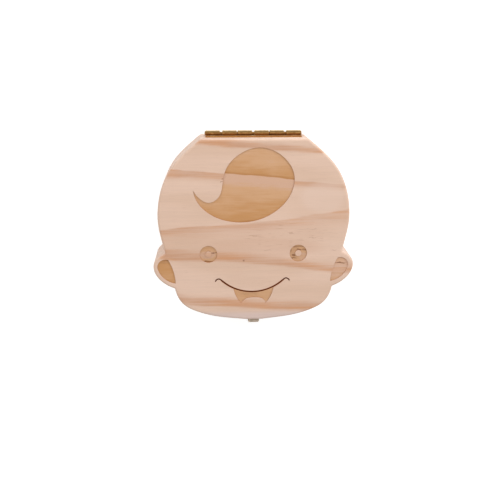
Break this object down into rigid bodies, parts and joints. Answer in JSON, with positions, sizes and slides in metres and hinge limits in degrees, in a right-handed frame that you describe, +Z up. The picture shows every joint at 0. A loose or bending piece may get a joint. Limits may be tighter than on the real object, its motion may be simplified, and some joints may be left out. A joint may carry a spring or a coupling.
{
  "type": "keepsake box",
  "caption": "Shallow pine keepsake box in the outline of a baby's head, with tooth wells, a hinged lid with an engraved face, and a small latch.",
  "frame": {"origin": "centre of the flat underside of the base, midway between the hinge wall and the chin", "axes": "+X from ear to ear, towards the engraved face's left ear as it is looked at from above, on the right of the picture; +Y from the chin to the hinge wall; +Z up through the lid"},
  "size_m": [0.125, 0.1233, 0.03],
  "materials": {
    "pine": "sanded bare pine, pale, with flat sawn grain across the head",
    "brass": "thin rolled brass plating, slightly aged",
    "nickel": "pressed sheet, dull nickel plating"
  },
  "bodies": {
    "base": {"base_board": "pine", "hinge_leaf_base": "brass", "hinge_pin": "brass", "hinge_screws_base": "brass", "latch_catch": "nickel", "latch_catch_nails": "nickel"},
    "lid": {"lid_board": "pine", "hinge_leaf_lid": "brass", "hinge_screws_lid": "brass", "latch_plate": "nickel", "latch_pin": "nickel", "latch_plate_nails": "nickel"},
    "flap": {"latch_flap": "nickel"}
  },
  "joints": [
    {"name": "lid_hinge", "type": "hinge", "parent": "base", "child": "lid", "pos_m": [0, 0.05915, 0.015], "axis": [-1, 0, 0], "range_deg": [0, 180]},
    {"name": "latch_hinge", "type": "hinge", "parent": "lid", "child": "flap", "pos_m": [0, -0.0598, 0.0245], "axis": [-1, 0, 0], "range_deg": [-7.5, 87]}
  ]
}
